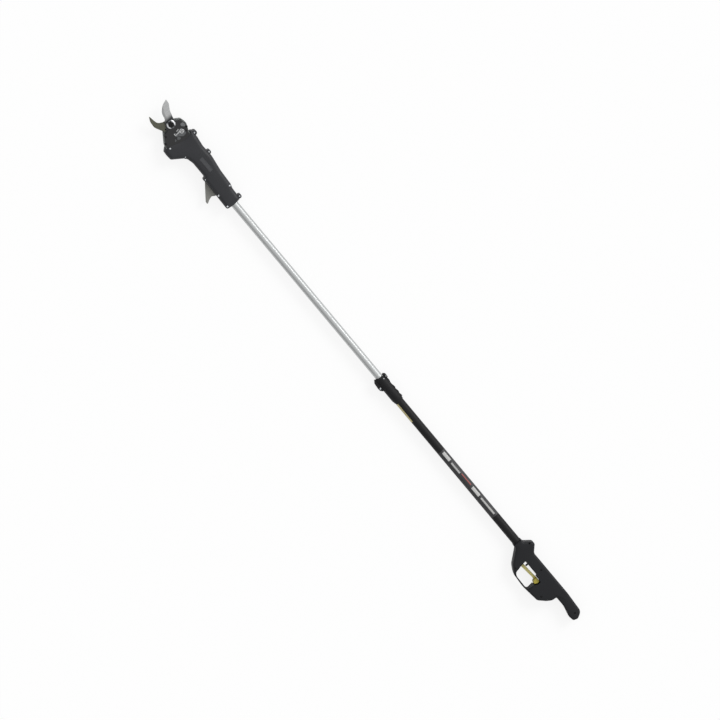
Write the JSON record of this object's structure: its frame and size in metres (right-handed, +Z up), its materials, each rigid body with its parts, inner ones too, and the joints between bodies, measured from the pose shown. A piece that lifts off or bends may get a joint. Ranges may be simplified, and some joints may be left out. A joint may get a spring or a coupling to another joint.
{
  "type": "electric pole pruner",
  "caption": "Bypass shear head with motor housing and branch hook on a telescopic tube, with a cam-lever clamp and a rear handle with a trigger in a finger guard.",
  "frame": {"origin": "centre of the underside of the tool's box, as the tool lies on the flat undersides of its head and handle", "axes": "+X along the pole towards the shear head, +Y towards the trigger and the counter blade's hook, +Z up, along the blade's pivot"},
  "size_m": [2.3028, 0.1414, 0.054],
  "materials": {
    "shell_plastic": "black glass-filled nylon, fine spark texture",
    "dark_plastic": "black nylon, smoother and a little glossier",
    "hook_plastic": "warm grey moulded nylon",
    "yellow_plastic": "muted yellow moulded plastic, satin",
    "strip_yellow": "pale yellow film",
    "black_tube": "black anodised, satin",
    "silver_tube": "natural anodised, satin",
    "blade_steel": "ground blade steel",
    "counter_blade_steel": "dark phosphated steel",
    "bright_steel": "zinc-plated, bright",
    "nut_steel": "black oxide",
    "black_cast": "die-cast, black paint",
    "grey_cast": "die-cast, grey satin",
    "motor_metal": "plated can",
    "bronze": "sintered bronze",
    "board_green": "solder resist",
    "rubber": "black rubber"
  },
  "bodies": {
    "root": {"outer_tube": "black_tube", "clamp_collar": "dark_plastic", "lever_pin": "bright_steel", "clamp_bolt": "bright_steel", "brake_pad": "rubber", "length_mark_strip": "strip_yellow", "handle_shell_upper": "shell_plastic", "handle_shell_lower": "shell_plastic", "handle_screw_1": "dark_plastic", "handle_screw_2": "dark_plastic", "handle_screw_3": "dark_plastic", "handle_screw_4": "dark_plastic", "handle_screw_5": "dark_plastic", "trigger_pin": "bright_steel", "trigger_spring": "bright_steel", "microswitch": "dark_plastic", "terminal_block": "dark_plastic", "battery_lead_inlet": "rubber"},
    "extension": {"inner_tube": "silver_tube", "tube_end_guide": "dark_plastic", "inner_lead": "rubber", "head_shell_upper": "shell_plastic", "head_shell_lower": "shell_plastic", "head_screw_1": "bright_steel", "head_screw_2": "bright_steel", "head_screw_3": "bright_steel", "head_screw_4": "bright_steel", "head_screw_5": "bright_steel", "head_screw_6": "bright_steel", "head_screw_7": "bright_steel", "head_screw_8": "bright_steel", "nose_screw": "bright_steel", "badge_plate": "dark_plastic", "branch_hook": "hook_plastic", "gear_case": "black_cast", "gear_case_cover": "grey_cast", "cover_screw_1": "bright_steel", "cover_screw_2": "bright_steel", "cover_screw_3": "bright_steel", "counter_blade": "counter_blade_steel", "counter_blade_screw": "bright_steel", "pivot_bolt": "bright_steel", "pivot_nut": "nut_steel", "pivot_washer": "bright_steel", "pinion_bearing": "bright_steel", "gearbox_case": "motor_metal", "motor_can": "motor_metal", "motor_end_cap": "dark_plastic", "control_board": "board_green", "lead_connector": "dark_plastic"},
    "blade": {"cutting_blade": "blade_steel", "blade_sector_gear": "bright_steel", "sector_screw_1": "bright_steel", "sector_screw_2": "bright_steel", "blade_bush": "bronze"},
    "pinion": {"drive_pinion": "bright_steel"},
    "lever": {"lock_lever": "dark_plastic"},
    "trigger": {"trigger": "yellow_plastic"},
    "plunger": {"switch_plunger": "dark_plastic"}
  },
  "joints": [
    {"name": "pole_extension", "type": "slide", "parent": "root", "child": "extension", "axis": [1, 0, 0], "range_m": [-0.45, 0], "deforming": ["inner_lead"]},
    {"name": "blade_pivot", "type": "hinge", "parent": "extension", "child": "blade", "pos_m": [1.07562, -0.01924, 0.024], "axis": [0, 0, 1], "range_deg": [0, 54]},
    {"name": "pinion_spin", "type": "hinge", "parent": "extension", "child": "pinion", "pos_m": [1.03962, -0.01924, 0.024], "axis": [1, 0, 0], "range_deg": [0, 216]},
    {"name": "lever_pivot", "type": "hinge", "parent": "root", "child": "lever", "pos_m": [-0.07138, -0.03224, 0.024], "axis": [0, 0, 1], "range_deg": [0, 110]},
    {"name": "trigger_pivot", "type": "hinge", "parent": "root", "child": "trigger", "pos_m": [-0.95938, 0.02026, 0.024], "axis": [0, 0, -1], "range_deg": [0, 5], "stiffness_Nm_per_rad": 1.5, "springref_deg": -1.72},
    {"name": "plunger_slide", "type": "slide", "parent": "root", "child": "plunger", "axis": [0, -1, 0], "range_m": [0, 0.006], "deforming": ["trigger_spring"]}
  ],
  "couplings": [
    {"joint": "pinion_spin", "follows": "blade_pivot", "ratio": 4},
    {"joint": "plunger_slide", "follows": "trigger_pivot", "m_per_rad": 0.065}
  ]
}
